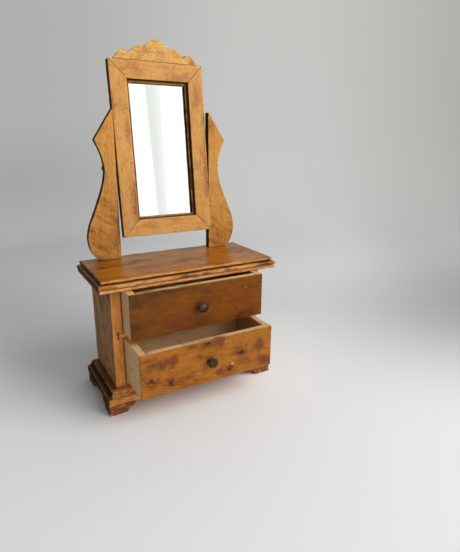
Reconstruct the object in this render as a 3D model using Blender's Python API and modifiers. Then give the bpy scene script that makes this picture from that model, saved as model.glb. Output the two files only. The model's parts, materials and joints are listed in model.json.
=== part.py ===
"""Miniature dresser jewelry box: two drawers under a moulded top, with a tilting mirror.

X runs to the box's right as seen from the front, the front faces -Y, Z is up. Sizes are in
millimetres here and turned into metres when a mesh is made. Y is counted from the front edges
of the case sides, Z from the floor.
"""
import math

import bmesh
import bpy
from mathutils import Matrix, Vector

MM = 0.001
GAP = 0.3                      # glue line or running clearance between neighbouring pieces
FRONT_Y = -13.542              # where the front edges of the case sides stand

# case
CASE_HALF = 83.0               # half the width over the side panels
SIDE_T = 10.0
CASE_DEPTH = 68.0              # depth of the side panels, without the back
BACK_T = 3.7
BACK_Y = CASE_DEPTH + GAP + BACK_T
CASE_FOOT = 23.0               # top of the plinth moulding
BOTTOM_T = 5.7
SHELF_Z, SHELF_T = 75.3, 5.0
HOUSING = 5.0                  # depth of the shelf's housing in each side
SUBTOP_Z, SUBTOP_T = 127.0, 3.2
TOP_Z = 138.8                  # top surface of the case

# plinth and feet
BAND_Z = 10.7                  # underside of the plinth band
FOOT_OUT = 11.2
FOOT_T = 9.0

# uprights and mirror
PIVOT_Y, PIVOT_Z = 62.7, 232.0
TILT = math.radians(6.6)
UPRIGHT_T = 8.0
UPRIGHT_IN = 52.0
WAIST = 63.7
MIRROR_HALF, MIRROR_UP, MIRROR_DOWN = 50.5, 102.9, 70.5
RAIL_W, RAIL_T = 17.5, 8.6
REBATE = 16.0
GLASS_D, GLASS_T = 5.3, 3.0
BACKING_T = 2.0

# drawers
DRAWER_HALF = 72.2
DRAWER_LONG = 64.0
WALL_T, FRONT_T, LAP_T, DRAWER_BACK_T, DRAWER_BOTTOM_T = 7.0, 7.0, 2.0, 4.5, 3.5
UPPER_OPEN, LOWER_OPEN = 24.0, 44.0

for old in list(bpy.data.objects):
    bpy.data.objects.remove(old, do_unlink=True)

box = bpy.data.collections.new("jewelry_box")
tools = bpy.data.collections.new("cutters")
for group in (box, tools):
    bpy.context.scene.collection.children.link(group)


def material(name, colour, rough, metal=0.0):
    made = bpy.data.materials.new(name)
    made.use_nodes = True
    shader = made.node_tree.nodes["Principled BSDF"]
    shader.inputs["Base Color"].default_value = (*colour, 1.0)
    shader.inputs["Roughness"].default_value = rough
    shader.inputs["Metallic"].default_value = metal
    made.diffuse_color = (*colour, 1.0)
    return made


WOODS = {
    "amber": ((0.34, 0.13, 0.03), 0.40),
    "honey": ((0.50, 0.24, 0.07), 0.45),
    "weathered": ((0.16, 0.09, 0.05), 0.60),
    "raw": ((0.46, 0.29, 0.16), 0.75),
    "pale": ((0.66, 0.47, 0.29), 0.75),
    "burl": ((0.36, 0.14, 0.035), 0.40),
}


def wood(kind, name):
    return material(name + "_wood", *WOODS[kind])


def metal(name):
    return material(name + "_metal", (0.10, 0.085, 0.07), 0.42, 0.9)


def make(name, mesh_bm, mat, place=(0, 0, 0), turn=(0, 0, 0), edge=0.0, home=box):
    """Turn a bmesh in millimetres into a named object in metres."""
    bmesh.ops.recalc_face_normals(mesh_bm, faces=mesh_bm.faces)
    bmesh.ops.scale(mesh_bm, vec=(MM, MM, MM), verts=mesh_bm.verts)
    mesh = bpy.data.meshes.new(name)
    mesh_bm.to_mesh(mesh)
    mesh_bm.free()
    made = bpy.data.objects.new(name, mesh)
    made.location = Vector(place) * MM
    made.rotation_euler = turn
    if mat:
        mesh.materials.append(mat)
    home.objects.link(made)
    if home is tools:
        made.hide_render = True
        made.display_type = "WIRE"
    if edge:
        soft = made.modifiers.new("eased_edges", "BEVEL")
        soft.width = edge * MM
        soft.segments = 2
        soft.limit_method = "ANGLE"
        soft.angle_limit = math.radians(40)
    return made


def world(x, y, z):
    return (x, FRONT_Y + y, z)


def block(name, low, high, mat, edge=0.4, home=box):
    """A board given by its two opposite corners."""
    bm = bmesh.new()
    bmesh.ops.create_cube(bm, size=1.0)
    size = [b - a for a, b in zip(low, high)]
    bmesh.ops.scale(bm, vec=size, verts=bm.verts)
    middle = [(a + b) / 2 for a, b in zip(low, high)]
    return make(name, bm, mat, world(*middle), edge=edge, home=home)


def loft(rings):
    """A closed solid through rings of equal length, capped at both ends."""
    bm = bmesh.new()
    rows = [[bm.verts.new(p) for p in ring] for ring in rings]
    for lower, upper in zip(rows, rows[1:]):
        for i in range(len(lower)):
            j = (i + 1) % len(lower)
            bm.faces.new((lower[i], lower[j], upper[j], upper[i]))
    bm.faces.new(rows[0])
    bm.faces.new(rows[-1])
    return bm


def smooth_line(points, steps=5):
    """Points along a Catmull-Rom curve through the given ones."""
    line = []
    padded = [points[0], *points, points[-1]]
    for a, b, c, d in zip(padded, padded[1:], padded[2:], padded[3:]):
        for k in range(steps):
            t = k / steps
            line.append(tuple(
                0.5 * (2 * q + (r - p) * t + (2 * p - 5 * q + 4 * r - s) * t ** 2
                       + (3 * q - p - 3 * r + s) * t ** 3)
                for p, q, r, s in zip(a, b, c, d)))
    return line + [points[-1]]


def cut(target, cutter):
    made = target.modifiers.new("cut_" + cutter.name, "BOOLEAN")
    made.operation = "DIFFERENCE"
    made.solver = "EXACT"
    made.object = cutter


def join(target, extra):
    made = target.modifiers.new("join_" + extra.name, "BOOLEAN")
    made.operation = "UNION"
    made.solver = "EXACT"
    made.object = extra


def bore(name, start, direction, length, radius, turn=None):
    """A round cutter from a point, along a direction."""
    bm = bmesh.new()
    bmesh.ops.create_cone(bm, cap_ends=True, segments=32, radius1=radius, radius2=radius,
                          depth=length)
    bmesh.ops.translate(bm, vec=(0, 0, length / 2), verts=bm.verts)
    aim = Vector((0, 0, 1)).rotation_difference(Vector(direction)).to_matrix()
    bmesh.ops.transform(bm, matrix=aim.to_4x4(), verts=bm.verts)
    if turn is None:
        return make(name, bm, None, world(*start), home=tools)
    bmesh.ops.translate(bm, vec=start, verts=bm.verts)
    return make(name, bm, None, world(0, PIVOT_Y, PIVOT_Z), turn, home=tools)


def turned(name, profile, direction, mat, place, turn=(0, 0, 0), shift=(0, 0, 0), steps=32):
    """A lathe-turned piece: (radius, height) pairs swept about an axis by a Screw modifier."""
    mesh = bpy.data.meshes.new(name)
    aim = Vector((0, 0, 1)).rotation_difference(Vector(direction)).to_matrix()
    verts = [Vector((r, 0, h)) * MM for r, h in reversed(profile)]
    mesh.from_pydata(verts, [(i, i + 1) for i in range(len(verts) - 1)], [])
    made = bpy.data.objects.new(name, mesh)
    made.rotation_euler = (Matrix.Rotation(turn[0], 3, "X") @ aim).to_euler()
    lean = Matrix.Rotation(turn[0], 3, "X") @ Vector(shift)
    made.location = (Vector(place) + lean) * MM
    mesh.materials.append(mat)
    box.objects.link(made)
    spin = made.modifiers.new("turned", "SCREW")
    spin.axis = "Z"
    spin.steps = steps
    spin.render_steps = steps
    spin.use_merge_vertices = True
    spin.merge_threshold = 0.00001
    spin.use_smooth_shade = True
    return made


def pin(name, start, direction, length, radius, targets, mat=None):
    """A plain nail driven in flush, with its hole bored in the boards it passes through."""
    profile = [(0, 0.0), (radius, 0.0), (radius, length - 1.5), (0, length)]
    turned(name, profile, direction, mat or metal(name), world(*start), steps=16)
    inside = [a - d * 1.0 for a, d in zip(start, direction)]
    hole = bore("hole_" + name, inside, direction, length + 1.6, radius + GAP)
    for target in targets:
        cut(target, hole)


# ---------------------------------------------------------------- top and case boards
def moulded_slab(name, profile, mat):
    """A board whose front and two ends carry a moulding; the back edge is square."""
    rings = []
    for out, z in profile:
        x, y = CASE_HALF + out, -out
        rings.append([world(-x, y, z), world(x, y, z), world(x, BACK_Y, z),
                      world(-x, BACK_Y, z)])
    return make(name, loft(rings), mat)


TOP_EDGE = [(12.3, 130.5), (13.0, 130.8), (13.4, 131.6), (13.4, 133.2), (12.9, 134.1),
            (11.6, 134.6), (9.4, 134.8), (9.0, 135.1), (9.3, 135.5), (10.3, 135.9),
            (10.7, 136.7), (10.5, 137.7), (9.6, 138.5), (8.2, TOP_Z)]
SUBTOP_EDGE = [(12.2, SUBTOP_Z), (12.7, SUBTOP_Z + 0.5), (12.7, SUBTOP_Z + SUBTOP_T - 0.5),
               (12.2, SUBTOP_Z + SUBTOP_T)]
moulded_slab("top_board", TOP_EDGE, wood("amber", "top_board"))
moulded_slab("sub_top_board", SUBTOP_EDGE, wood("amber", "sub_top_board"))

case_top = SUBTOP_Z - GAP
case_low = CASE_FOOT + GAP
housing_in = CASE_HALF - SIDE_T
sides = {}
for word, s in (("left", -1), ("right", 1)):
    xs = sorted((s * housing_in, s * CASE_HALF))
    sides[s] = block(f"side_panel_{word}", (xs[0], 0, case_low),
                     (xs[1], CASE_DEPTH, case_top),
                     wood("weathered", f"side_panel_{word}"))
    xs = sorted((s * (housing_in - 2), s * (housing_in + HOUSING)))
    slot = block(f"housing_{word}", (xs[0], -5, SHELF_Z - GAP),
                 (xs[1], CASE_DEPTH + 5, SHELF_Z + SHELF_T + GAP), None, 0, tools)
    cut(sides[s], slot)

shelf_x = housing_in + HOUSING
block("shelf", (-shelf_x + 1.0, 0, SHELF_Z), (shelf_x - GAP, CASE_DEPTH - GAP, SHELF_Z + SHELF_T),
      wood("raw", "shelf"))
bottom_x = housing_in - GAP
bottom = block("bottom_board", (-bottom_x, 0, case_low),
               (bottom_x, CASE_DEPTH - GAP, case_low + BOTTOM_T), wood("raw", "bottom_board"))
back = block("back_panel", (-CASE_HALF, CASE_DEPTH + GAP, case_low),
             (CASE_HALF, BACK_Y, case_top), wood("weathered", "back_panel"), 0.3)

# ---------------------------------------------------------------- plinth and feet
PLINTH = [(-12.0, CASE_FOOT), (6.2, CASE_FOOT), (6.35, 21.9), (6.7, 20.8), (7.3, 19.7),
          (8.2, 18.7), (9.3, 17.9), (10.4, 17.5), (11.4, 17.5), (11.6, 17.2), (11.6, 11.0),
          (11.3, BAND_Z), (-12.0, BAND_Z)]
MITRE = GAP / math.sqrt(2)
front_ring = [[world(s * (CASE_HALF + o - MITRE), -o, z) for o, z in PLINTH] for s in (-1, 1)]
make("plinth_front", loft(front_ring), wood("amber", "plinth_front"))
for word, s in (("left", -1), ("right", 1)):
    rings = [[world(s * (CASE_HALF + o), -o + MITRE, z) for o, z in PLINTH],
             [world(s * (CASE_HALF + o), BACK_Y, z) for o, z in PLINTH]]
    make(f"plinth_{word}", loft(rings), wood("amber", f"plinth_{word}"))

BRACKET = [(0, 0), (18.3, 0), (19.0, 0.5), (19.6, 2.6), (20.4, 3.9), (22.0, 4.7), (24.2, 5.6),
           (25.8, 6.6), (26.6, 7.8), (26.6, BAND_Z - GAP), (0, BAND_Z - GAP)]
for depth_word, y0, inward in (("front", -FOOT_OUT, 1), ("back", BACK_Y, -1)):
    for word, s in (("left", -1), ("right", 1)):
        corner = s * (CASE_HALF + FOOT_OUT)
        across = [[world(corner - s * l, y0 + inward * t, z) for l, z in BRACKET]
                  for t in (0, FOOT_T)]
        along = [[world(corner - s * t, y0 + inward * l, z) for l, z in BRACKET]
                 for t in (0, FOOT_T)]
        name = f"foot_{depth_word}_{word}"
        foot = make(name, loft(across), wood("amber", name))
        join(foot, make(name + "_return", loft(along), None, home=tools))

# ---------------------------------------------------------------- uprights and pivot screws
SCROLL = [(74.0, 0.3), (79.4, 4.8), (83.6, 13.5), (84.9, 24.0), (82.7, 35.5), (77.4, 48.5),
          (71.6, 62.0), (66.9, 74.5), (64.2, 86.0), (WAIST, 94.0), (65.5, 104.5),
          (68.5, 112.7), (72.0, 120.5)]
scroll = ([(UPRIGHT_IN, GAP)] + smooth_line(SCROLL)
          + [(53.0, 149.0), (UPRIGHT_IN, 149.3)])
for word, s in (("left", -1), ("right", 1)):
    faces = [[world(s * x, PIVOT_Y + d, TOP_Z + z) for x, z in scroll]
             for d in (-UPRIGHT_T / 2, UPRIGHT_T / 2)]
    upright = make(f"upright_{word}", loft(faces), wood("honey", f"upright_{word}"), edge=0.3)
    cut(upright, bore(f"upright_bore_{word}", (s * 40, PIVOT_Y, PIVOT_Z), (s, 0, 0), 30,
                      1.2 + GAP))
    shank = [(0, 0), (0.7, 0.2), (1.2, 1.2), (1.2, 17.6), (2.3, 17.6), (2.2, 18.4), (1.6, 19.0),
             (0, 19.3)]
    screw = turned(f"pivot_screw_{word}", shank, (s, 0, 0), metal(f"pivot_screw_{word}"),
                   world(s * (WAIST + GAP - 17.6), PIVOT_Y, PIVOT_Z))
    head = s * (WAIST + GAP)
    xs = sorted((head + s * 1.2, head + s * 3))
    cut(screw, block(f"slot_{word}", (xs[0], PIVOT_Y - 0.3, PIVOT_Z - 3),
                     (xs[1], PIVOT_Y + 0.3, PIVOT_Z + 3), None, 0, tools))

# ---------------------------------------------------------------- mirror, about its pivot line
LEAN = (-TILT, 0, 0)
HINGE = world(0, PIVOT_Y, PIVOT_Z)
FACE = -RAIL_T / 2             # front face of the frame, counted from the pivot line


def on_mirror(name, mesh_bm, mat, edge=0.0):
    return make(name, mesh_bm, mat, HINGE, LEAN, edge)


RAIL = [(0, 0.5), (0.5, 0), (17.1, 0), (RAIL_W, 0.4), (RAIL_W, 3.0), (18.0, 3.4), (19.7, 3.4),
        (20.1, 3.8), (20.1, 5.0), (REBATE, 5.0), (REBATE, RAIL_T), (0.5, RAIL_T),
        (0, RAIL_T - 0.5)]
rails = {}
for word, edge_z, way in (("top", MIRROR_UP, -1), ("bottom", -MIRROR_DOWN, 1)):
    rings = [[(s * (MIRROR_HALF - w - MITRE), FACE + d, edge_z + way * w) for w, d in RAIL]
             for s in (-1, 1)]
    name = f"mirror_rail_{word}"
    rails[word] = on_mirror(name, loft(rings), wood("honey", name))
for word, s in (("left", -1), ("right", 1)):
    rings = [[(s * (MIRROR_HALF - w), FACE + d, z + way * (w + MITRE)) for w, d in RAIL]
             for z, way in ((-MIRROR_DOWN, 1), (MIRROR_UP, -1))]
    name = f"mirror_rail_{word}"
    rails[word] = on_mirror(name, loft(rings), wood("honey", name))
    cut(rails[word], bore(f"pivot_bore_{word}", (s * 44.5, 0, 0), (s, 0, 0), 10, 1.3, LEAN))

HALF_CREST = [smooth_line(part, 4) for part in (
    [(0, 21.4), (4.3, 20.5), (8.2, 17.6), (13.0, 13.1)],
    [(13.0, 13.1), (17.4, 14.4), (22.6, 13.0), (30.0, 6.7)],
    [(30.0, 6.7), (34.8, 9.8), (39.2, 6.9), (44.4, 0.9)])]
right_half = [p for part in HALF_CREST for p in part[:-1]] + [(44.4, 0.9), (44.4, GAP)]
left_half = [(-x, z) for x, z in reversed(right_half[1:])]
crest = [[(x, FACE + d, MIRROR_UP + z) for x, z in left_half + right_half] for d in (0, 7.0)]
on_mirror("mirror_crest", loft(crest), wood("honey", "mirror_crest"))


def mirror_sheet(name, margin, depth, thick, mat, edge):
    x = MIRROR_HALF - margin
    low, high = -MIRROR_DOWN + margin, MIRROR_UP - margin
    rings = [[(-x, d, low), (x, d, low), (x, d, high), (-x, d, high)]
             for d in (FACE + depth, FACE + depth + thick)]
    return on_mirror(name, loft(rings), mat, edge)


mirror_sheet("mirror_glass", REBATE + GAP, GLASS_D, GLASS_T,
             material("mirror_glass_silvered", (0.85, 0.88, 0.88), 0.03, 1.0), 0)
backing = mirror_sheet("mirror_backing", 11.0, RAIL_T + GAP, BACKING_T,
                       wood("raw", "mirror_backing"), 0.3)
brad = [(0, 0), (0.5, 0.8), (0.5, 4.3), (1.3, 4.3), (1.2, 4.8), (0, 5.1)]
for high_word, z in (("low", -46.0), ("high", 78.0)):
    for word, s in (("left", -1), ("right", 1)):
        name = f"backing_brad_{high_word}_{word}"
        seat = RAIL_T + GAP + BACKING_T + GAP - 4.3
        turned(name, brad, (0, 1, 0), metal(name), HINGE, LEAN, (s * 37.0, FACE + seat, z), 16)
        hole = bore("hole_" + name, (s * 37.0, FACE + seat - GAP, z), (0, 1, 0), 9, 0.8, LEAN)
        cut(backing, hole)
        cut(rails[word], hole)

# ---------------------------------------------------------------- drawers
KNOB = [(0, -8.2), (1.0, -8.2), (1.3, -7.9), (1.3, 0.3), (4.2, 0.3), (4.4, 0.8), (3.5, 1.4),
        (2.5, 2.2), (2.4, 3.2), (3.6, 4.1), (4.9, 4.8), (5.3, 5.6), (5.1, 6.4), (4.3, 7.2),
        (4.1, 7.3), (3.9, 7.2), (3.2, 7.9), (1.7, 8.5), (0, 8.7)]


def drawer(word, floor_z, height, open_by):
    """One drawer: rabbeted front, two sides, back, bottom, knob and corner nails."""
    z0, z1 = floor_z, floor_z + height
    y0, y1 = -open_by, -open_by + DRAWER_LONG
    inner = DRAWER_HALF - WALL_T - GAP
    front = block(f"{word}_drawer_front", (-DRAWER_HALF, y0, z0),
                  (DRAWER_HALF, y0 + FRONT_T, z1), wood("burl", f"{word}_drawer_front"))
    walls = {}
    for side_word, s in (("left", -1), ("right", 1)):
        xs = sorted((s * inner, s * (DRAWER_HALF + 3)))
        cut(front, block(f"{word}_rabbet_{side_word}", (xs[0], y0 + LAP_T, z0 - 3),
                         (xs[1], y0 + FRONT_T + 3, z1 + 3), None, 0, tools))
        xs = sorted((s * (DRAWER_HALF - WALL_T), s * DRAWER_HALF))
        name = f"{word}_drawer_side_{side_word}"
        walls[s] = block(name, (xs[0], y0 + LAP_T + GAP, z0), (xs[1], y1, z1),
                         wood("pale", name))
    name = f"{word}_drawer_back"
    rear = block(name, (-inner, y1 - DRAWER_BACK_T, z0), (inner, y1, z1), wood("pale", name))
    name = f"{word}_drawer_bottom"
    block(name, (-inner, y0 + FRONT_T + GAP, z0),
          (inner, y1 - DRAWER_BACK_T - GAP, z0 + DRAWER_BOTTOM_T), wood("raw", name), 0.3)
    middle = (z0 + z1) / 2
    turned(f"{word}_drawer_knob", KNOB, (0, -1, 0), metal(f"{word}_drawer_knob"),
           world(0, y0, middle))
    cut(front, bore(f"{word}_knob_hole", (0, y0 - 3, middle), (0, 1, 0), 13, 1.3 + GAP))
    for side_word, s in (("left", -1), ("right", 1)):
        pin(f"{word}_drawer_corner_nail_{side_word}",
            (s * (DRAWER_HALF - WALL_T / 2), y1 - 2.6, z1 - 0.1), (0, 0, -1), 12, 0.7,
            [walls[s]])
        pin(f"{word}_drawer_side_nail_{side_word}",
            (s * (DRAWER_HALF - 0.1), y1 - DRAWER_BACK_T / 2, middle), (-s, 0, 0), 12, 0.6,
            [walls[s], rear])


drawer("lower", case_low + BOTTOM_T + GAP, 45.2, LOWER_OPEN)
drawer("upper", SHELF_Z + SHELF_T + GAP, 45.6, UPPER_OPEN)

# ---------------------------------------------------------------- nails in the case
pin("bottom_board_nail", (-48.8, 0.1, case_low + BOTTOM_T / 2), (0, 1, 0), 9, 0.8, [bottom])
for high_word, z in (("low", 38.0), ("high", 112.0)):
    for word, s in (("left", -1), ("right", 1)):
        pin(f"back_panel_nail_{high_word}_{word}", (s * (CASE_HALF - SIDE_T / 2), BACK_Y - 0.1, z),
            (0, -1, 0), 13, 0.9, [back, sides[s]])
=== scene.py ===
import json
import math

import bmesh
import bpy
import numpy as np
from mathutils import Matrix, Vector, noise


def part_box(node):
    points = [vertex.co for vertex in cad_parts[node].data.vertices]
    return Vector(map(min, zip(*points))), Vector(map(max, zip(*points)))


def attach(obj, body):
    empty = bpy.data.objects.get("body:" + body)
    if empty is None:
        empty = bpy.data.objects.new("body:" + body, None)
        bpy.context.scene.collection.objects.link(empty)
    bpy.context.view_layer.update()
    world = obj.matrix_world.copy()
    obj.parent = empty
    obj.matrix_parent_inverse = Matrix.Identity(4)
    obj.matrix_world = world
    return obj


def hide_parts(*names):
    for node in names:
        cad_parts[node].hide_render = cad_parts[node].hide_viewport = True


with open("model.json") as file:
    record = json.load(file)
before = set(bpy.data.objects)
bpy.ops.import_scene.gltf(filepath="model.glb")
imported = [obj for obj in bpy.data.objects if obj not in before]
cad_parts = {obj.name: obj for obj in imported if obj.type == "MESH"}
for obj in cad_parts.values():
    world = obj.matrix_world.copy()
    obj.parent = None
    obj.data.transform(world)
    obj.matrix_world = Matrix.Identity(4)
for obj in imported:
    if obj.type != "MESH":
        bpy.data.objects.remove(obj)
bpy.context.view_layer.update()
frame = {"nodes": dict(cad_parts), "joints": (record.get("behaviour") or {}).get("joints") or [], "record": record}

MM = 0.001
NODES = frame["nodes"]
BODIES = frame["record"]["behaviour"]["bodies"]
BODY_OF = {node: body for body, members in BODIES.items() for node in members}
HINGE = Vector(next(j for j in frame["joints"] if j["name"] == "mirror_tilt")["pos_m"])
TILT = math.radians(6.6)         # the mirror leans back this far at rest
LEAN = Matrix.Translation(HINGE) @ Matrix.Rotation(-TILT, 4, "X")
X, Y, Z = 0, 1, 2
BLACK, WHITE = (0.0, 0.0, 0.0), (1.0, 1.0, 1.0)


# ---------------------------------------------------------------- worn boards from the CAD nodes
# lengths in millimetres
MERGE_GAP = 0.002                # points closer than this are one point
FLAT_ANGLE = math.radians(0.7)   # faces that meet flatter than this are one face
ARRIS_ANGLE = math.radians(33)   # a sharper fold than this is an arris
END_CUTS = (0.9, 2.2)            # the closer cuts near both ends of a board
ROUND_REACH = 1.6                # how far from an outer arris the wood is rounded
CREASE_REACH = 1.8               # how far from an inner corner grime and painted shade lie
TONE_REACH = 2.6                 # how far from an outer arris the finish is worn
HANDFUL = 2000                   # points measured against the arrises at a time


def add_object(name, data):
    made = bpy.data.objects.new(name, data)
    bpy.context.scene.collection.objects.link(made)
    return made


def stand_in(piece, node):
    """The piece takes the CAD node's place, on its body."""
    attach(piece, BODY_OF[node])
    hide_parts(node)


def is_tilted(node):
    return BODY_OF[node] == "mirror"


def clean_copy(node):
    """The node's mesh as whole flat faces, in millimetres, upright if the node leans."""
    bm = bmesh.new()
    bm.from_mesh(NODES[node].data)
    if is_tilted(node):
        bmesh.ops.transform(bm, matrix=LEAN.inverted(), verts=bm.verts)
    bmesh.ops.scale(bm, vec=(1 / MM,) * 3, verts=bm.verts)
    bmesh.ops.remove_doubles(bm, verts=bm.verts, dist=MERGE_GAP)
    bmesh.ops.dissolve_limit(bm, angle_limit=FLAT_ANGLE, verts=bm.verts,
                             edges=bm.edges, use_dissolve_boundaries=False)
    return bm


def arrises(bm):
    """The corner lines of a mesh, outer and inner, as arrays of end points."""
    found = {True: [], False: []}
    for edge in bm.edges:
        if len(edge.link_faces) == 2 and edge.calc_face_angle(0) > ARRIS_ANGLE:
            found[edge.is_convex].append([edge.verts[0].co[:], edge.verts[1].co[:]])
    return np.array(found[True]), np.array(found[False])


def nearness(points, lines, reach):
    """1 on a line, falling to 0 at the reach, for each point."""
    if not len(lines):
        return np.zeros(len(points))
    start, run = lines[:, 0], lines[:, 1] - lines[:, 0]
    length2 = np.maximum((run ** 2).sum(1), 1e-9)
    best = np.full(len(points), 1e9)
    for begin in range(0, len(points), HANDFUL):
        part = points[begin:begin + HANDFUL, None, :]
        t = np.clip(((part - start) * run).sum(2) / length2, 0, 1)
        gap = part - (start + t[..., None] * run)
        best[begin:begin + HANDFUL] = np.sqrt((gap ** 2).sum(2).min(1))
    return np.clip(1 - best / reach, 0, 1)


def stations(low, high, step):
    """Places to cut a length: every step, and closer to both ends."""
    size = high - low
    ends = [d for d in END_CUTS if d < size / 2.5]
    first = ends[-1] if ends else 0
    inner = max(1, round((size - 2 * first) / step))
    even = [low + first + (size - 2 * first) * k / inner for k in range(inner + 1)]
    return sorted(set(round(p, 3) for p in
                      even[(0 if ends else 1):(None if ends else -1)]
                      + [low + d for d in ends[:-1]] + [high - d for d in ends[:-1]]))


def fractal(point, size, seed):
    return noise.fractal(Vector(point) / size + Vector((seed, seed * 1.7, -seed)), 0.8, 2.0, 3)


def worn_board(node, paint, grain, step=3.0, wear=0.35, chips=0.0, seed=0.0, lower=0.0,
               shrink=0.0):
    """A replacement for a wooden CAD node, cut fine enough to carry rounded, dented arrises.

    Every point moves inward only, so the board keeps its size. step is the spacing of the
    cuts, wear how deep the arrises are rounded, chips how deep they are bitten, and shrink how
    much the whole surface sinks. lower lets the underside down, to meet the board below."""
    bm = clean_copy(node)
    outer, inner = arrises(bm)
    co = np.array([v.co for v in bm.verts])
    low, high = co.min(0), co.max(0)
    thin = int(np.argmin(high - low))
    for axis in (X, Y, Z):
        normal = Vector([float(a == axis) for a in (X, Y, Z)])
        pitch = step if axis != thin else max(2.0, step * 0.8)
        for place in stations(low[axis], high[axis], pitch):
            bmesh.ops.bisect_plane(bm, geom=bm.verts[:] + bm.edges[:] + bm.faces[:],
                                   plane_co=normal * place, plane_no=normal, dist=0.02)
    bm.normal_update()
    points = np.array([v.co for v in bm.verts])
    convex = nearness(points, outer, ROUND_REACH)
    concave = nearness(points, inner, CREASE_REACH)
    edge_tone = nearness(points, outer, TONE_REACH)
    for vert, near in zip(bm.verts, convex):
        rough = fractal(vert.co, 9.0, seed)
        sink = shrink + 0.05 * max(0.0, 1 + fractal(vert.co, 22.0, seed + 3))
        sink += near * wear * max(0.0, 0.45 + rough)
        if chips:
            bite = fractal(vert.co, 4.0, seed + 9) - 0.35
            sink += near * chips * min(1.0, max(0.0, bite) * 4)
        if lower and vert.co.z < low[Z] + 0.1:
            vert.co.z -= lower
        else:
            vert.co -= vert.normal * sink
    bmesh.ops.scale(bm, vec=(MM,) * 3, verts=bm.verts)
    mesh = bpy.data.meshes.new("wood_" + node)
    bm.to_mesh(mesh)
    bm.free()
    mesh.shade_smooth()
    for word, values in (("wear", edge_tone), ("crease", concave)):
        layer = mesh.attributes.new(word, "FLOAT", "POINT")
        layer.data.foreach_set("value", values.astype(np.float32))
    mesh.materials.append(paint)
    piece = add_object("wood_" + node, mesh)
    if is_tilted(node):
        piece.matrix_world = LEAN
    even = piece.modifiers.new("even_shading", "WEIGHTED_NORMAL")
    even.weight = 60
    even.keep_sharp = True
    stand_in(piece, node)


# ---------------------------------------------------------------- node helpers
class Graph:
    """Short calls for building a material's nodes. A value may be a socket or a number."""

    def __init__(self, name):
        self.material = bpy.data.materials.new(name)
        self.material.use_nodes = True
        self.tree = self.material.node_tree
        self.shader = self.tree.nodes["Principled BSDF"]

    def feed(self, socket, value):
        if isinstance(value, bpy.types.NodeSocket):
            self.tree.links.new(value, socket)
        elif isinstance(value, tuple) and len(value) == 3 and socket.type == "RGBA":
            socket.default_value = (*value, 1.0)
        else:
            socket.default_value = value

    def math(self, operation, a, b=0.0, clamp=False):
        node = self.tree.nodes.new("ShaderNodeMath")
        node.operation = operation
        node.use_clamp = clamp
        self.feed(node.inputs[0], a)
        self.feed(node.inputs[1], b)
        return node.outputs[0]

    def add(self, *values):
        total = values[0]
        for value in values[1:]:
            total = self.math("ADD", total, value)
        return total

    def times(self, *values):
        total = values[0]
        for value in values[1:]:
            total = self.math("MULTIPLY", total, value)
        return total

    def vector(self, operation, a, b=(0, 0, 0), scale=None):
        node = self.tree.nodes.new("ShaderNodeVectorMath")
        node.operation = operation
        self.feed(node.inputs[0], a)
        if scale is None:
            self.feed(node.inputs[1], b)
        else:
            self.feed(node.inputs["Scale"], scale)
        return node.outputs["Value" if operation == "LENGTH" else "Vector"]

    def split(self, vector):
        node = self.tree.nodes.new("ShaderNodeSeparateXYZ")
        self.feed(node.inputs[0], vector)
        return node.outputs[0], node.outputs[1], node.outputs[2]

    def merge(self, x, y, z):
        node = self.tree.nodes.new("ShaderNodeCombineXYZ")
        for socket, value in zip(node.inputs, (x, y, z)):
            self.feed(socket, value)
        return node.outputs[0]

    def noise(self, vector, scale=1.0, detail=2.0, rough=0.5, colour=False):
        node = self.tree.nodes.new("ShaderNodeTexNoise")
        self.feed(node.inputs["Vector"], vector)
        node.inputs["Scale"].default_value = scale
        node.inputs["Detail"].default_value = detail
        node.inputs["Roughness"].default_value = rough
        return node.outputs["Color" if colour else "Fac"]

    def step(self, value, low, high, to_low=0.0, to_high=1.0):
        """A smooth rise from to_low at low to to_high at high; low may be above high."""
        node = self.tree.nodes.new("ShaderNodeMapRange")
        node.interpolation_type = "SMOOTHSTEP"
        self.feed(node.inputs["Value"], value)
        for word, number in (("From Min", low), ("From Max", high), ("To Min", to_low),
                             ("To Max", to_high)):
            self.feed(node.inputs[word], number)
        return node.outputs[0]

    def mix(self, factor, a, b):
        node = self.tree.nodes.new("ShaderNodeMix")
        node.data_type = "RGBA"
        self.feed(node.inputs[0], factor)
        self.feed(node.inputs[6], a)
        self.feed(node.inputs[7], b)
        return node.outputs[2]

    def swing(self, value, amount):
        """A 0 to 1 value about its middle: half the amount to either side of nothing."""
        return self.times(self.math("SUBTRACT", value, 0.5), amount)

    def oval(self, place, centre, radius, axis=X, stretch=1.0):
        """The distance from a centre, 1 at the radius, stretched along one axis."""
        scale = [1.0 / radius] * 3
        scale[axis] = 1.0 / (radius * stretch)
        offset = self.vector("SUBTRACT", place, centre)
        return self.vector("LENGTH", self.vector("MULTIPLY", offset, tuple(scale)))

    def attribute(self, name):
        node = self.tree.nodes.new("ShaderNodeAttribute")
        node.attribute_name = name
        return node.outputs["Fac"]

    def millimetres(self):
        node = self.tree.nodes.new("ShaderNodeTexCoord")
        return self.vector("SCALE", node.outputs["Object"], scale=1 / MM)

    def bump(self, height, depth, strength=1.0):
        """Relief of a 0 to 1 height, the depth in millimetres."""
        node = self.tree.nodes.new("ShaderNodeBump")
        node.inputs["Distance"].default_value = depth * MM
        node.inputs["Strength"].default_value = strength
        self.feed(node.inputs["Height"], height)
        self.feed(self.shader.inputs["Normal"], node.outputs[0])


def srgb(red, green, blue):
    """A colour named by its usual 0 to 255 values, as linear light."""
    return tuple((c / 255 / 12.92 if c <= 10 else ((c / 255 + 0.055) / 1.055) ** 2.4)
                 for c in (red, green, blue))


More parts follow.
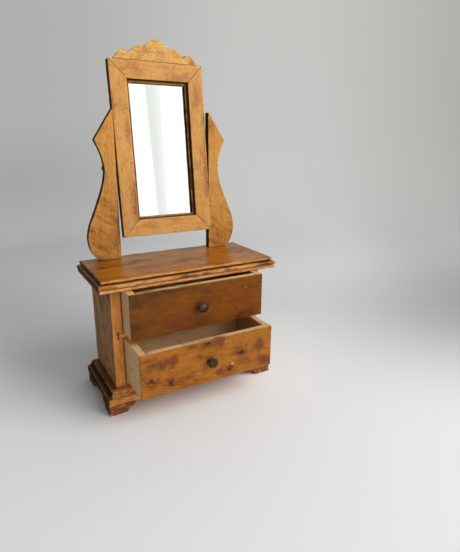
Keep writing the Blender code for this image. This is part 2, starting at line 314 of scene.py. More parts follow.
# ---------------------------------------------------------------- wood
LENGTHWAYS = {X: (0, 1, 2), Y: (1, 0, 2), Z: (2, 0, 1)}
PITH_ACROSS, PITH_DEEP = 9.0, -38.0    # the line that the rings circle, in millimetres
RELIEF = 0.12                          # depth of the grain's relief, in millimetres
END_DARK = 0.35                        # how much end grain darkens


def wood(name, grain, light, dark, cloud_colour, worn_colour, grime_and_shade_colour, seed, spacing=3.4,
         rings=0.45, fibre=0.5, curl=0.0, curl_size=7.0, curl_zone=None, cloud=0.4,
         cloud_size=26.0, mottle=0.0, grit=0.0, specks=0.3, ripple=0.0, knots=(), spots=(),
         knot_colour=None, shine=0.3, shine_tint=(1.0, 0.85, 0.65), worn=0.5, grime_and_shade=0.8,
         rough=0.42, coat=0.0, faced=(), ragged=1.2, side_dark=0.0, left_dark=0.0, shaded=(),
         bands=(), clear=None, blots=()):
    """A board's material. Grain runs along one axis; the rings circle a pith line beside it.

    spacing is the width of a ring. rings, fibre, curl, cloud, mottle, grit, specks and ripple
    say how strongly each kind of figure shows.

    knots and spots are (x, y, z, radius, stretch, strength) in millimetres: a knot bends the
    rings around itself, a spot only stains. faced lists the faces with other colours, each
    as (axis, way, where the face is, colours). side_dark darkens what doesn't face front or
    back, partly dirt on sawn edges and partly painted shade; left_dark darkens what faces
    left, a painted shade. shaded is (axis, start, end, amount): darker from start on, in full
    at the end. bands are (low, high, colour, amount, patch size, cover): patches of another
    colour between two heights; clear is (axis, way, where a face is without them). blots are
    (x, y, z, radius, colour, strength): small stains and chips of their own colour."""
    g = Graph(name)
    place = g.millimetres()
    parts = g.split(place)
    along, across, deep = (parts[i] for i in LENGTHWAYS[grain])
    q = g.merge(g.add(along, seed * 137.0), g.add(across, seed * 61.0),
                g.add(deep, seed * 37.0))
    slow = g.noise(g.vector("MULTIPLY", q, (0.010, 0.035, 0.035)), 1.0, 2.0, 0.5, colour=True)
    sway_a, sway_b, sway_c = g.split(slow)

    knot_lift, knot_dark, knot_core = 0.0, 0.0, 0.0
    for x, y, z, radius, stretch, strength in knots:
        far = g.add(g.oval(place, (x, y, z), radius, grain, stretch),
                    g.swing(g.noise(q, 0.22, 2.0), 0.9))
        knot_lift = g.add(knot_lift, g.step(far, 2.3, 0.0, 0.0, 2.2 * strength))
        knot_dark = g.add(knot_dark, g.step(far, 1.5, 0.25, 0.0, 0.75 * strength))
        knot_core = g.add(knot_core, g.step(far, 0.42, 0.12, 0.0, strength))
    spot_dark = 0.0
    for x, y, z, radius, stretch, strength in spots:
        far = g.add(g.oval(place, (x, y, z), radius, grain, stretch),
                    g.swing(g.noise(q, 0.16, 3.0, 0.65), 1.7))
        spot_dark = g.add(spot_dark, g.step(far, 1.15, 0.1, 0.0, strength))

    u = g.add(across, -PITH_ACROSS, g.swing(sway_a, 26.0))
    v = g.add(deep, -PITH_DEEP, g.swing(sway_b, 18.0))
    radius = g.vector("LENGTH", g.merge(0.0, u, v))
    phase = g.add(g.times(radius, 1.0 / spacing), knot_lift,
                  g.times(g.noise(g.vector("MULTIPLY", q, (0.03, 0.3, 0.3)), 1.0, 2.0), 0.55))
    saw = g.math("FRACT", phase)
    late = g.times(g.step(saw, 0.25, 0.88), g.step(saw, 1.0, 0.90))

    strands = g.noise(g.vector("MULTIPLY", q, (0.045, 0.75, 0.75)), 1.0, 3.0, 0.6)
    fine = g.noise(g.vector("MULTIPLY", q, (0.22, 3.2, 3.2)), 1.0, 2.0, 0.6)
    clouds = g.noise(g.vector("MULTIPLY", q, (0.55, 1.0, 1.0)), 1.0 / cloud_size, 4.0, 0.62)
    pores = g.noise(g.vector("MULTIPLY", q, (0.28, 1.25, 1.25)), 1.0, 1.0)
    dot = g.step(pores, 0.66, 0.74)

    tone = g.add(g.times(late, rings), g.swing(strands, fibre * 1.9), g.swing(fine, fibre * 0.9),
                 g.times(g.step(clouds, 0.40, 0.72), cloud * 0.45), 0.18)
    if curl:
        q_along, q_across, _ = g.split(q)
        slanted = g.times(g.add(q_along, g.times(q_across, 0.5), g.times(sway_c, 14.0)),
                          1.0 / curl_size)
        wave = g.noise(g.merge(slanted, g.times(q_across, 0.04), 0.0), 1.0, 1.0, 0.5)
        band = g.step(wave, 0.42, 0.66)
        if curl_zone:
            axis, start, end = curl_zone
            band = g.times(band, g.step(parts[axis], start, end))
        tone = g.add(tone, g.times(band, curl))
    if mottle:
        swirl = g.noise(g.vector("MULTIPLY", q, (0.5, 1.0, 1.0)), 0.17, 4.0, 0.7)
        tone = g.add(tone, g.swing(swirl, mottle * 2.2))
    if grit:
        flecks = g.noise(g.vector("MULTIPLY", q, (0.42, 1.3, 1.3)), 1.0, 3.0, 0.7)
        tone = g.add(tone, g.swing(flecks, grit * 3.0))
    if ripple:
        comb = g.math("SINE", g.times(g.add(along, g.times(sway_c, 9.0)), 2 * math.pi / 1.4))
        tone = g.add(tone, g.times(comb, ripple))
    tone = g.math("ADD", tone, 0.0, clamp=True)
    colour = g.mix(tone, light, dark)
    knot_colour = knot_colour or tuple(c * 0.28 for c in dark)
    colour = g.mix(g.times(g.step(clouds, 0.50, 0.74), cloud), colour, cloud_colour)
    for axis, way, level, look in faced:
        depth = g.times(g.math("SUBTRACT", parts[axis], level), float(-way))
        skin = g.step(g.add(depth, g.swing(strands, ragged)), 0.9, 0.6)
        skinned = g.mix(tone, look["light"], look["dark"])
        skinned = g.mix(g.times(g.step(clouds, 0.50, 0.74), cloud), skinned,
                        look["cloud_colour"])
        colour = g.mix(skin, colour, skinned)
    for start, end, tint, amount, size, cover in bands:
        inside = g.times(g.step(parts[Z], start - 0.3, start + 0.3),
                         g.step(parts[Z], end + 0.3, end - 0.3))
        patch = g.noise(g.vector("MULTIPLY", q, (0.5, 1.0, 1.0)), 1.0 / size, 4.0, 0.65)
        patch = g.step(patch, 0.75 - 0.5 * cover, 0.85 - 0.5 * cover)
        if clear:
            axis, way, level = clear
            depth = g.times(g.math("SUBTRACT", parts[axis], level), float(-way))
            inside = g.times(inside, g.step(depth, 0.7, 1.0))
        colour = g.mix(g.times(inside, patch, amount), colour, tint)
    if spots:
        colour = g.mix(g.math("MINIMUM", spot_dark, 0.9), colour, cloud_colour)
    for x, y, z, radius, tint, strength in blots:
        far = g.add(g.oval(place, (x, y, z), radius), g.swing(g.noise(q, 0.35, 3.0, 0.6), 1.1))
        colour = g.mix(g.step(far, 1.1, 0.5, 0.0, strength), colour, tint)
    if knots:
        ringed = g.math("MULTIPLY", knot_dark, g.add(0.35, g.times(late, 0.75)))
        colour = g.mix(g.math("MINIMUM", ringed, 0.92), colour, knot_colour)
        colour = g.mix(g.math("MINIMUM", knot_core, 0.85), colour,
                       tuple(c * 0.4 for c in knot_colour))
    colour = g.mix(g.times(dot, specks), colour, tuple(c * 0.3 for c in dark))

    normal = g.tree.nodes.new("ShaderNodeTexCoord").outputs["Normal"]
    normal_parts = g.split(normal)
    end_grain = g.step(g.math("ABSOLUTE", normal_parts[grain]), 0.72, 0.95)
    # darker flanks: partly dirt on sawn edges, partly painted shade
    if side_dark:
        flank = g.step(g.math("ABSOLUTE", normal_parts[Y]), 0.80, 0.35)
        colour = g.mix(g.times(flank, side_dark), colour, tuple(c * 0.12 for c in dark))
    # painted shade on faces that look left; faces that look right are not darkened
    if left_dark:
        leftward = g.step(normal_parts[X], -0.3, -0.75)
        colour = g.mix(g.times(leftward, left_dark), colour, tuple(c * 0.15 for c in dark))
    for axis, start, end, amount in shaded:
        shade = g.times(g.step(parts[axis], start, end), g.add(0.55, g.times(strands, 0.9)))
        colour = g.mix(g.times(shade, amount), colour, tuple(c * 0.2 for c in dark))
    colour = g.mix(g.times(end_grain, END_DARK), colour, tuple(c * 0.45 for c in dark))

    edge = g.attribute("wear")
    bite = g.noise(g.vector("MULTIPLY", q, (0.5, 1.0, 1.0)), 0.16, 5.0, 0.7)
    bare = g.times(g.step(g.add(edge, g.times(bite, 1.6)), 1.62, 1.80), worn)
    # the painted shade on left faces also keeps worn colour off their arrises
    if left_dark:
        bare = g.times(bare, g.math("SUBTRACT", 1.0, g.times(leftward, 0.7)))
    colour = g.mix(bare, colour, worn_colour)
    # grime and painted shade in inner corners: darker near concave arrises, partly real dirt, partly painted shade
    dirt_and_shade = g.step(g.add(g.attribute("crease"), g.swing(bite, 1.4)), 0.15, 0.85)
    colour = g.mix(g.times(dirt_and_shade, grime_and_shade), colour, grime_and_shade_colour)
    g.feed(g.shader.inputs["Base Color"], colour)

    matte = g.add(rough, g.swing(clouds, 0.25), g.swing(fine, 0.16), g.times(bare, 0.25),
                  g.times(dirt_and_shade, 0.2), g.times(end_grain, 0.15))
    if side_dark:
        matte = g.add(matte, g.times(flank, 0.5))
    if left_dark:
        matte = g.add(matte, g.times(leftward, 0.5))
    g.feed(g.shader.inputs["Roughness"], g.math("ADD", matte, 0.0, clamp=True))
    g.shader.inputs["Coat Weight"].default_value = coat
    g.shader.inputs["Coat Roughness"].default_value = 0.22
    g.shader.inputs["IOR"].default_value = 1.48
    g.shader.inputs["Specular IOR Level"].default_value = shine
    g.shader.inputs["Specular Tint"].default_value = (*shine_tint, 1.0)
    height = g.add(g.times(fine, 0.5), g.times(strands, 0.8), g.times(late, -0.25),
                   g.times(dot, -0.5), g.times(bare, -0.4), g.times(bite, 0.5))
    g.bump(height, RELIEF)
    return g.material


# ---------------------------------------------------------------- metal and glass
def aged_metal(name, base, bright, rough):
    """Bronze or iron gone dull, with brighter rubbed patches and dark pits."""
    g = Graph(name)
    place = g.millimetres()
    patches = g.noise(place, 0.3, 4.0, 0.6)
    grit = g.noise(place, 2.2, 3.0, 0.6)
    colour = g.mix(g.step(patches, 0.35, 0.70), base, bright)
    colour = g.mix(g.step(grit, 0.60, 0.72, 0.0, 0.6), colour, tuple(c * 0.3 for c in base))
    g.feed(g.shader.inputs["Base Color"], colour)
    g.shader.inputs["Metallic"].default_value = 0.9
    g.feed(g.shader.inputs["Roughness"], g.add(rough, g.swing(grit, 0.35)))
    g.bump(g.add(patches, g.times(grit, 0.5)), 0.05)
    return g.material


def silvered_glass(name):
    """Old mirror silver with a faint film and a few dull pits."""
    g = Graph(name)
    place = g.millimetres()
    film = g.noise(place, 0.03, 3.0, 0.5)
    pits = g.step(g.noise(place, 0.7, 2.0, 0.5), 0.74, 0.80)
    colour = g.mix(film, (0.93, 0.95, 0.94), (0.97, 0.98, 0.97))
    colour = g.mix(g.times(pits, 0.35), colour, (0.45, 0.47, 0.45))
    g.feed(g.shader.inputs["Base Color"], colour)
    g.shader.inputs["Metallic"].default_value = 1.0
    g.feed(g.shader.inputs["Roughness"], g.add(0.012, g.times(film, 0.012), g.times(pits, 0.2)))
    g.bump(film, 0.01, 0.2)
    return g.material


# ---------------------------------------------------------------- colours
AMBER = dict(light=srgb(192, 118, 14), dark=srgb(116, 56, 2), cloud_colour=srgb(68, 32, 4),
             worn_colour=srgb(168, 108, 60), grime_and_shade_colour=srgb(28, 11, 4))
# the case's front edges: partly their own lighter tone, partly painted light that makes up for the shade cast on
# them
STILE = dict(light=srgb(250, 172, 86), dark=srgb(186, 104, 42), cloud_colour=srgb(150, 74, 30))
HONEY = dict(light=srgb(216, 158, 86), dark=srgb(152, 92, 38), cloud_colour=srgb(126, 68, 28),
             worn_colour=srgb(220, 168, 98), grime_and_shade_colour=srgb(49, 22, 6))
RAW = dict(light=srgb(196, 146, 98), dark=srgb(140, 88, 48), cloud_colour=srgb(112, 64, 34),
           worn_colour=srgb(206, 166, 122), grime_and_shade_colour=srgb(56, 30, 16))
PALE = dict(light=srgb(232, 196, 146), dark=srgb(186, 138, 86), cloud_colour=srgb(168, 120, 74),
            worn_colour=srgb(238, 208, 164), grime_and_shade_colour=srgb(76, 46, 26))
BURL = dict(light=srgb(170, 104, 26), dark=srgb(106, 52, 6), cloud_colour=srgb(72, 28, 6))
# the upper drawer front's burl: a darker copy of BURL, partly its own darker tone, partly painted shade
BURL_DARK_AND_SHADED = dict(light=srgb(128, 70, 12), dark=srgb(72, 33, 3), cloud_colour=srgb(44, 16, 2))
GREY = dict(light=srgb(176, 122, 66), dark=srgb(104, 64, 30), cloud_colour=srgb(62, 34, 14),
            worn_colour=srgb(170, 112, 60), grime_and_shade_colour=srgb(30, 15, 6))


def look(scheme, **changes):
    return {**scheme, **changes}


def millimetre_box(node):
    low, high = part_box(node)
    return low / MM, high / MM


# ---------------------------------------------------------------- pieces
def top_pieces():
    low, high = millimetre_box("top_board")
    top_z, lip_y = high.z, low.y
    knots = [(-80, 19, top_z, 4.2, 1.5, 1.5), (76, 14, top_z, 4.2, 1.5, 1.6)]
    marks = [(18, 4, top_z, 3.0, 1.4, 0.8), (27, 12, top_z, 2.4, 1.5, 0.7),
             (-8, lip_y, 132, 5.0, 3.5, 0.9), (12, lip_y, 132, 3.5, 2.5, 0.8),
             (84, lip_y, 134, 6.0, 2.0, 0.8), (-20, 8, top_z, 16, 2.2, 0.35)]
    # the third band darkens the groove below the top's edge: partly dark patches, partly painted shade
    fillet = [(130.4, 134.4, srgb(206, 152, 104), 0.75, 9.0, 0.66),
              (130.4, 134.4, srgb(84, 40, 34), 0.6, 7.0, 0.34),
              (134.4, 136.0, srgb(84, 44, 20), 0.6, 12.0, 0.7),
              (136.3, 138.4, srgb(206, 150, 98), 0.6, 6.0, 0.55)]
    # shaded darkens both ends and the rear edge of the top: painted shade
    top = wood("top_wood", X, seed=1, knots=knots, spots=marks, rings=0.2, fibre=0.7,
               mottle=0.3, grit=0.25, cloud=0.6, cloud_size=20, rough=0.28,
               shine_tint=(1.0, 0.82, 0.5), worn=0.75, left_dark=0.85,
               shaded=[(X, 50, 96, 0.3), (X, -70, -96, 0.2), (Y, high.y - 14, high.y, 0.35)],
               bands=fillet, blots=[(95, lip_y, 133, 8.0, srgb(146, 66, 40), 0.75)],
               **look(AMBER, worn_colour=srgb(196, 138, 88)))
    worn_board("top_board", top, X, 3.0, wear=0.5, chips=0.3, seed=2)
    under = wood("sub_top_wood", X, seed=2, rough=0.45, left_dark=0.7, rings=0.2,
                 bands=[(127.0, 130.2, srgb(222, 166, 104), 0.7, 11.0, 0.7)],
                 **look(AMBER, light=srgb(214, 144, 50)))
    worn_board("sub_top_board", under, X, 4.0, wear=0.3, seed=5)


def side_pieces():
    for n, (word, way) in enumerate((("left", -1), ("right", 1))):
        low, high = millimetre_box(f"side_panel_{word}")
        outside = low.x if way < 0 else high.x
        ageing = [(20, 78, srgb(150, 88, 34), 0.5, 16.0, 0.6),
                  (30, 128, srgb(58, 40, 24), 0.7, 9.0, 0.42),
                  (60, 128, srgb(166, 136, 98), 0.5, 6.0, 0.4)]
        # shaded darkens the panels towards the top, under the top board's overhang: painted shade
        side = wood(f"side_wood_{word}", Z, seed=3 + n, rings=0.12, cloud=0.5, cloud_size=12,
                    mottle=0.35, grit=0.5, bands=ageing, clear=(Y, -1, low.y), rough=0.6,
                    shine=0.2, specks=0.5, shaded=[(Z, 104, 127, 0.45)],
                    faced=[(X, way, outside, GREY), (Y, -1, low.y, STILE)],
                    **look(RAW, worn_colour=srgb(176, 112, 52)))
        worn_board(f"side_panel_{word}", side, Z, 4.0, wear=0.2, chips=0.12,
                   seed=7 + n)


def inner_pieces():
    front_y = millimetre_box("side_panel_left")[0].y
    shelf = wood("shelf_wood", X, seed=6, ripple=0.10, rings=0.3, cloud=0.35, rough=0.6,
                 coat=0.05, specks=0.35, faced=[(Y, -1, front_y, STILE)], **RAW)
    worn_board("shelf", shelf, X, 4.0, wear=0.35, chips=0.2, seed=11)
    floor_z = millimetre_box("bottom_board")[1].z
    floor = wood("bottom_wood", X, seed=7, knots=[(-49, 30, floor_z, 3.4, 2.6, 1.0)],
                 rings=0.4, cloud=0.35, rough=0.6, coat=0.05,
                 faced=[(Y, -1, front_y, STILE)], **RAW)
    worn_board("bottom_board", floor, X, 4.0, wear=0.4, chips=0.4, seed=12)
    rear_y = millimetre_box("back_panel")[1].y
    rear = wood("back_wood", Z, seed=8, rings=0.4, rough=0.65, faced=[(Y, 1, rear_y, GREY)],
                **RAW)
    worn_board("back_panel", rear, Z, 5.0, wear=0.3, seed=13)


def plinth_pieces():
    cove = [(17.7, 21.6, srgb(118, 70, 30), 0.7, 6.0, 0.56),
            (17.4, 22.6, srgb(214, 166, 122), 0.75, 2.2, 0.5),
            (11.2, 16.8, srgb(104, 54, 24), 0.6, 9.0, 0.4),
            (11.0, 12.6, srgb(216, 164, 110), 0.6, 7.0, 0.5)]
    for n, (word, axis) in enumerate((("front", X), ("left", Y), ("right", Y))):
        # the front takes lighter colours and the sides darker ones: painted light on the front, painted shade on
        # the sides, also in the cove's flecks
        if word != "front":
            cove[1] = (17.4, 22.6, srgb(150, 100, 62), 0.4, 2.2, 0.46)
        tint = srgb(232, 160, 74) if word == "front" else srgb(128, 80, 28)
        deep = srgb(136, 74, 18) if word == "front" else srgb(104, 50, 4)
        band = wood(f"plinth_wood_{word}", axis, seed=9 + n, cloud=0.7, cloud_size=13,
                    mottle=0.6, grit=0.4, rings=0.2, worn=0.85, rough=0.5, shine=0.15,
                    left_dark=0.9, bands=cove,
                    **look(AMBER, light=tint, dark=deep, worn_colour=srgb(200, 148, 104)))
        worn_board(f"plinth_{word}", band, axis, 3.0, wear=0.5, chips=0.4,
                   seed=15 + n)
    for n, word in enumerate(("front_left", "front_right", "back_left", "back_right")):
        chipped = 0.7 if word == "front_left" else 0.3
        foot = wood(f"foot_wood_{word}", X, seed=12 + n, cloud=0.7, worn=0.8, rough=0.45,
                    mottle=0.4, grit=0.2, left_dark=0.8,
                    bands=[(-1.0, 9.0, srgb(210, 178, 148), chipped, 3.0, 0.46)],
                    **look(AMBER, light=srgb(132, 72, 35), worn_colour=srgb(206, 168, 132)))
        worn_board(f"foot_{word}", foot, X, 2.5, wear=0.5, chips=0.5,
                   seed=20 + n)


def upright_pieces():
    for n, word in enumerate(("left", "right")):
        stand = wood(f"upright_wood_{word}", Z, seed=17 + n, curl=0.45, curl_size=5.5,
                     curl_zone=(Z, 225, 195), rings=0.1, fibre=0.3, mottle=0.4, grit=0.5,
                     cloud=0.45, cloud_size=16, specks=0.6, shine=0.2,
                     side_dark=0.96, shaded=[(Z, 240, 150, 0.15)],
                     **look(HONEY, light=srgb(208, 146, 70), dark=srgb(144, 84, 30)))
        worn_board(f"upright_{word}", stand, Z, 3.0, wear=0.3, seed=25 + n)


def mirror_pieces():
    """The frame's places are measured from the pivot line, as if it stood upright."""
    step_y, blend = -1.6, 0.4    # where the painted shadow on the frame's inner step starts
    face_y = -4.0                # near its front face
    stains = {"top": [(22, face_y, 88, 9, 2.0, 0.5)],
              "bottom": [(-20, face_y, -60, 8, 2.0, 0.3)],
              "left": [(-34, face_y, -32, 7, 4.5, 0.8), (-50, face_y, 62, 5, 2.5, 0.8),
                       (-36, face_y, 36, 5, 3.0, 0.5)],
              "right": [(49, face_y, -12, 6, 5.0, 0.8), (42, face_y, 70, 9, 2.0, 0.5)]}
    # how dark the painted shadow on each rail's inner step is
    step_shade = {"top": 0.62, "bottom": 0.5, "left": 0.95, "right": 1.0}
    darker = {"top": 0.0, "bottom": 0.0, "left": 0.13, "right": 0.08}
    reddish = look(HONEY, cloud_colour=srgb(134, 70, 40))
    for n, (word, axis) in enumerate((("top", X), ("bottom", X), ("left", Z), ("right", Z))):
        rail = wood(f"rail_wood_{word}", axis, seed=21 + n, rings=0.1, fibre=0.3, mottle=0.35,
                    grit=0.6, cloud_size=15, specks=0.7, shine=0.2, side_dark=0.96,
                    spots=stains[word],
                    shaded=[(Y, step_y - blend, step_y + blend, step_shade[word]),
                            (Z, 50, -60, darker[word])], **reddish)
        worn_board(f"mirror_rail_{word}", rail, axis, 3.0, wear=0.18, seed=30 + n)
    crest = wood("crest_wood", X, seed=26, rings=0.1, fibre=0.25, mottle=0.45, grit=0.6,
                 cloud=0.35, cloud_size=12, specks=0.7, shine=0.2, side_dark=0.96,
                 spots=[(40, face_y, 106, 6, 1.3, 0.6)],
                 **look(reddish, light=srgb(226, 172, 98)))
    worn_board("mirror_crest", crest, X, 2.5, wear=0.22, seed=35, lower=0.24)
    rear = wood("backing_wood", Z, seed=27, rings=0.4, rough=0.7, **RAW)
    worn_board("mirror_backing", rear, Z, 5.0, wear=0.3, seed=36, shrink=0.12)
    silvered_back()


def silvered_back():
    """The reflecting back of the mirror glass, where its image of the frame starts."""
    glass_depth, bevel, square = 1.9, 0.3, 1.0
    bm = clean_copy("mirror_glass")
    front = min(v.co.y for v in bm.verts) + glass_depth
    for vert in bm.verts:
        vert.co.y = max(vert.co.y, front)
    arris = [e for e in bm.edges if e.calc_face_angle(0) > square]
    bmesh.ops.bevel(bm, geom=arris, offset=bevel, segments=2, affect="EDGES")
    bmesh.ops.scale(bm, vec=(MM,) * 3, verts=bm.verts)
    mesh = bpy.data.meshes.new("mirror_silver")
    bm.to_mesh(mesh)
    bm.free()
    mesh.materials.append(silvered_glass("silvered_glass"))
    piece = add_object("mirror_silver", mesh)
    piece.matrix_world = LEAN
    stand_in(piece, "mirror_glass")


# knots and stains on the drawer fronts: x, height above the front's lower edge, radius,
# stretch, strength; blots have a colour in place of a stretch
LOWER_KNOTS = [(-62, 17, 7.4, 1.2, 1.2), (-43, 10, 6.6, 1.1, 1.1), (-3, 43, 5.0, 1.3, 1.1),
               (36, 23, 6.6, 1.0, 0.9), (21, 8, 6.0, 1.6, 1.1), (-60, 33, 1.8, 3.4, 0.7)]
LOWER_SPOTS = [(-51, 31, 8.0, 1.0, 1.1), (-40, 33, 8.5, 0.8, 1.2), (10, 41, 9.0, 1.1, 1.1),
               (57, 26, 11.0, 0.8, 1.1), (10, 8, 6.0, 1.0, 0.9), (62, 8, 7.0, 1.4, 0.8)]
LOWER_BLOTS = [(-5, 33, 5.5, srgb(146, 98, 6), 0.75), (25, 13, 2.3, srgb(206, 160, 118), 0.9),
               (-12, 12, 0.8, srgb(222, 190, 150), 0.9), (17, 40, 0.7, srgb(222, 190, 150), 0.8)]
UPPER_BLOTS = [(-3, 19, 5.0, srgb(92, 60, 8), 0.5), (52, 34, 0.8, srgb(190, 140, 90), 0.8)]
UPPER_KNOTS = [(6, 37, 3.2, 1.6, 0.6), (-66, 41, 3.0, 1.4, 0.6), (40, 12, 1.3, 1.6, 0.9)]
UPPER_SPOTS = [(-47, 33, 8.0, 1.3, 0.9), (8, 24, 8.0, 0.8, 1.0), (-22, 10, 15.0, 1.6, 0.7),
               (8, 36, 6.0, 1.4, 0.7), (45, 20, 16.0, 1.5, 0.4), (-66, 20, 9.0, 0.7, 0.7)]


def drawer_pieces(word, seed, knots, spots, blots, front_finish_and_shade, cloud_size, shine, left_painted_shade):
    """A drawer. cloud_size, shine and the last argument, a painted shade darkening towards the left, are its
    front's.
    """
    low, _ = millimetre_box(f"{word}_drawer_front")
    knots = [(x, low.y, low.z + z, r, s, k) for x, z, r, s, k in knots]
    spots = [(x, low.y, low.z + z, r, s, k) for x, z, r, s, k in spots]
    blots = [(x, low.y, low.z + z, r, tint, k) for x, z, r, tint, k in blots]
    front = wood(f"{word}_front_wood", X, seed=seed, knots=knots, spots=spots, blots=blots,
                 rings=0.14, fibre=0.30, spacing=4.6, mottle=0.5, cloud=0.8,
                 cloud_size=cloud_size, grit=0.2, rough=0.40, worn=0.08, ragged=0.1,
                 left_dark=0.3, shaded=[(X, 40, -60, left_painted_shade)], shine=shine,
                 knot_colour=srgb(78, 28, 10), faced=[(Y, -1, low.y, front_finish_and_shade)],
                 **look(PALE, cloud_colour=srgb(110, 50, 16)))
    worn_board(f"{word}_drawer_front", front, X, 3.0, wear=0.1, chips=0.06,
               seed=seed + 20)
    for n, part in enumerate(("side_left", "side_right", "back", "bottom")):
        axis = Y if part.startswith("side") else X
        kind, slot = (RAW, "interior_wood") if part == "bottom" else (PALE, "drawer_wall_wood")
        wall = wood(f"{word}_{part}_wood", axis, seed=seed + 1 + n, rings=0.3, cloud=0.2,
                    rough=0.68, specks=0.5, worn=0.3, **kind)
        worn_board(f"{word}_drawer_{part}", wall, axis, 4.0, wear=0.12, seed=seed + 25 + n)


def smooth_copy(node, paint):
    """A small turned piece, rounder than its CAD node and within it."""
    bm = bmesh.new()
    bm.from_mesh(NODES[node].data)
    bmesh.ops.remove_doubles(bm, verts=bm.verts, dist=MERGE_GAP * MM)
    mesh = bpy.data.meshes.new("metal_" + node)
    bm.to_mesh(mesh)
    bm.free()
    mesh.shade_smooth()
    mesh.materials.append(paint)
    piece = add_object("metal_" + node, mesh)
    rounder = piece.modifiers.new("rounder", "SUBSURF")
    rounder.levels = 2
    rounder.render_levels = 2
    stand_in(piece, node)


def small_metal():
    bronze = aged_metal("knob_bronze", srgb(50, 36, 26), srgb(98, 78, 58), 0.42)
    iron = aged_metal("nail_iron", srgb(44, 36, 32), srgb(78, 66, 56), 0.5)
    for name, obj in list(NODES.items()):
        if name.endswith("knob"):
            smooth_copy(name, bronze)
        elif "nail" in name or "screw" in name or "brad" in name:
            obj.data.materials.clear()
            obj.data.materials.append(iron)


# ---------------------------------------------------------------- studio
YAW, PITCH, ROLL = math.radians(30.333), math.radians(17.258), math.radians(0.566)
CAMERA_AT = (-0.18694, -0.41281, 0.26451)
SENSOR, LENS = 36, 29.5

# the backdrop in metres, and its greys, which carry painted light and shade
FLOOR_R, SWEEP_R, WALL_H = 0.75, 0.5, 2.6
PAPER_NEAR, PAPER_FAR = (0.89, 0.89, 0.885), (0.74, 0.74, 0.725)
PAPER_LEFT, PAPER_MIDDLE = (0.665, 0.665, 0.655), (0.82, 0.82, 0.80)
WALL_LOW, WALL_HIGH = (0.575, 0.58, 0.56), (0.555, 0.56, 0.535)
WALL_LEFT_LOW, WALL_LEFT_HIGH = (0.35, 0.355, 0.345), (0.43, 0.435, 0.425)
WALL_RIGHT = (0.385, 0.385, 0.355)


def camera():
    data = bpy.data.cameras.new("camera")
    data.sensor_width = SENSOR
    data.lens = LENS
    data.clip_start, data.clip_end = 0.01, 50
    made = add_object("camera", data)
    bpy.context.scene.camera = made
    ahead = Vector((math.sin(YAW) * math.cos(PITCH), math.cos(YAW) * math.cos(PITCH),
                    -math.sin(PITCH)))
    right = Vector((math.cos(YAW), -math.sin(YAW), 0))
    up = right.cross(ahead)
    rolled_right = right * math.cos(ROLL) + up * math.sin(ROLL)
    rolled_up = up * math.cos(ROLL) - right * math.sin(ROLL)
    place = Matrix((rolled_right, rolled_up, -ahead)).transposed().to_4x4()
    place.translation = Vector(CAMERA_AT)
    made.matrix_world = place


def backdrop_material(name):
    """Pale grey paper: lit on the floor, with painted light and shade in its colour; on the wall a glow with
    painted light and shade, in place of lighting.
    """
    g = Graph(name)
    place = g.vector("SCALE", g.millimetres(), scale=MM)
    x, y, z = g.split(place)
    away = g.add(g.times(y, math.cos(YAW)), g.times(x, math.sin(YAW)))
    sideways = g.add(g.times(x, math.cos(YAW)), g.times(y, -math.sin(YAW)))
    # painted light and shade on the floor: darker to the left and further back, lighter behind the middle
    far = g.mix(g.step(sideways, -0.1, -0.4), PAPER_FAR, PAPER_LEFT)
    middle = g.times(g.step(sideways, -0.3, 0.07), g.step(sideways, 0.52, 0.28),
                     g.step(away, 0.2, 0.5))
    far = g.mix(middle, far, PAPER_MIDDLE)
    floor = g.mix(g.step(away, 0.0, 0.30), PAPER_NEAR, far)
    # painted shade: a darker patch on the floor at the back right
    fan = g.add(sideways, g.times(away, -0.35))
    dim = g.times(g.step(away, -0.1, 0.2), g.step(away, 0.7, 0.25, 0.45, 1.0),
                  g.step(fan, 0.05, 0.38))
    floor = g.mix(g.times(dim, 0.45), floor, BLACK)
    radius = g.vector("LENGTH", g.merge(x, y, 0.0))
    wall = g.step(radius, FLOOR_R + 0.02, FLOOR_R + 0.8 * SWEEP_R)
    # the wall glows in place of being lit: painted light, with painted shade to the left and to the right
    glow = g.mix(g.step(z, 0.0, 0.9), WALL_LOW, WALL_HIGH)
    glow = g.mix(g.step(sideways, 0.25, 1.0), glow, WALL_RIGHT)
    left_painted_shade = g.mix(g.step(z, 0.03, 0.35), WALL_LEFT_LOW, WALL_LEFT_HIGH)
    glow = g.mix(g.step(sideways, 0.15, -0.6), glow, left_painted_shade)
    g.feed(g.shader.inputs["Base Color"], g.mix(wall, floor, BLACK))
    g.feed(g.shader.inputs["Emission Color"], g.mix(wall, BLACK, glow))
    g.shader.inputs["Emission Strength"].default_value = 1.0
    g.shader.inputs["Roughness"].default_value = 0.9
    g.shader.inputs["Specular IOR Level"].default_value = 0.1
    return g.material


def backdrop():
    """A pale floor that curves up into a wall all round."""
    curve_steps, turns = 24, 96
    rows = [(0.0, 0.0), (FLOOR_R, 0.0)]
    rows += [(FLOOR_R + SWEEP_R * math.sin(a), SWEEP_R * (1 - math.cos(a)))
             for a in np.linspace(0.0, math.pi / 2, curve_steps + 1)[1:]]
    rows.append((FLOOR_R + SWEEP_R, WALL_H))
    paper = backdrop_material("studio_paper")
    for name, part in (("studio_floor", rows[:2]), ("studio_wall", rows[1:])):
        verts, faces = [], []
        for r, h in part:
            verts += [(r * math.cos(2 * math.pi * k / turns),
                       r * math.sin(2 * math.pi * k / turns), h) for k in range(turns)]
        for row in range(len(part) - 1):
            for k in range(turns):
                a, b = row * turns + k, row * turns + (k + 1) % turns
                faces.append((a, b, b + turns, a + turns))
        mesh = bpy.data.meshes.new(name)
        mesh.from_pydata(verts, [], faces)
        mesh.shade_smooth()
        mesh.materials.append(paper)
        made = add_object(name, mesh)
        if name == "studio_wall":
            made.visible_diffuse = False
            made.visible_shadow = False


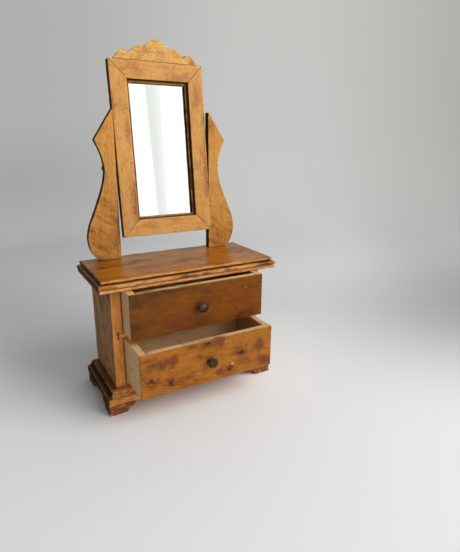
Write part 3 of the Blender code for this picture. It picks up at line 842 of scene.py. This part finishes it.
def panel(name, place, aim, width, height, power):
    """A soft lamp of that size in metres, facing a point, its power in watts."""
    data = bpy.data.lights.new(name, "AREA")
    data.shape = "RECTANGLE"
    data.size, data.size_y = width, height
    data.energy = power
    made = add_object(name, data)
    made.location = place
    made.rotation_euler = (Vector(aim) - Vector(place)).to_track_quat("-Z", "Y").to_euler()


def window_wall():
    """The bright window in front of the box and its pale bar, which the mirror shows."""
    left, right, y, low, high = -0.62, 0.78, -0.92, 0.03, 1.2
    mesh = bpy.data.meshes.new("window_wall")
    mesh.from_pydata([(left, y, low), (right, y, low), (right, y, high), (left, y, high)], [],
                     [(0, 1, 2, 3)])
    g = Graph("window_wall")
    g.feed(g.shader.inputs["Base Color"], BLACK)
    x, _, z = g.split(g.vector("SCALE", g.millimetres(), scale=MM))
    base, base_left, base_width, slant, widening = 0.19, 0.361, 0.030, 0.0167, 0.039
    height = g.math("SUBTRACT", z, base)
    bar_left = g.add(base_left, g.times(height, slant))
    bar_width = g.add(base_width, g.times(height, widening))
    part = g.math("DIVIDE", g.math("SUBTRACT", x, bar_left), bar_width)
    bar = g.times(g.step(part, -0.08, 0.02), g.step(part, 1.12, 0.96))
    grey = g.mix(g.step(part, 0.3, 1.0), (0.73, 0.76, 0.72), (0.82, 0.84, 0.81))
    g.feed(g.shader.inputs["Emission Color"], g.mix(bar, WHITE, grey))
    g.shader.inputs["Emission Strength"].default_value = 1.12
    mesh.materials.append(g.material)
    made = add_object("window_wall", mesh)
    made.visible_camera = False
    made.visible_diffuse = False
    made.visible_shadow = False


def studio():
    """Backdrop, window light from the right, two dim panes and a world brighter to the right."""
    backdrop()
    window_wall()
    panel("window", (1.25, -1.35, 1.55), (0, 0, 0.10), 1.6, 1.6, 36)
    panel("pane_left", (0.11, -1.06, 0.50), (0.11, 0, 0.50), 0.60, 1.0, 2.4)
    panel("pane_right", (0.77, -1.06, 0.50), (0.77, 0, 0.50), 0.60, 1.0, 4.2)
    world = bpy.data.worlds.new("soft_room")
    bpy.context.scene.world = world
    world.use_nodes = True
    nodes, links = world.node_tree.nodes, world.node_tree.links
    across = nodes.new("ShaderNodeSeparateXYZ")
    links.new(nodes.new("ShaderNodeTexCoord").outputs["Generated"], across.inputs[0])
    strength = nodes.new("ShaderNodeMapRange")
    links.new(across.outputs[0], strength.inputs["Value"])
    for word, number in (("From Min", -0.9), ("From Max", 0.7), ("To Min", 0.10),
                         ("To Max", 0.52)):
        strength.inputs[word].default_value = number
    links.new(strength.outputs[0], nodes["Background"].inputs[1])
    nodes["Background"].inputs[0].default_value = (0.96, 0.98, 1.0, 1)
    bpy.context.scene.view_settings.view_transform = "Standard"


camera()
top_pieces()
side_pieces()
inner_pieces()
plinth_pieces()
upright_pieces()
mirror_pieces()
# the upper drawer's front: a darker burl with painted shade, and painted shade darkening it towards the left
drawer_pieces("upper", 31, UPPER_KNOTS, UPPER_SPOTS, UPPER_BLOTS, BURL_DARK_AND_SHADED, 28, 0.12, 0.22)
drawer_pieces("lower", 41, LOWER_KNOTS, LOWER_SPOTS, LOWER_BLOTS, BURL, 22, 0.3, 0.0)
small_metal()
studio()
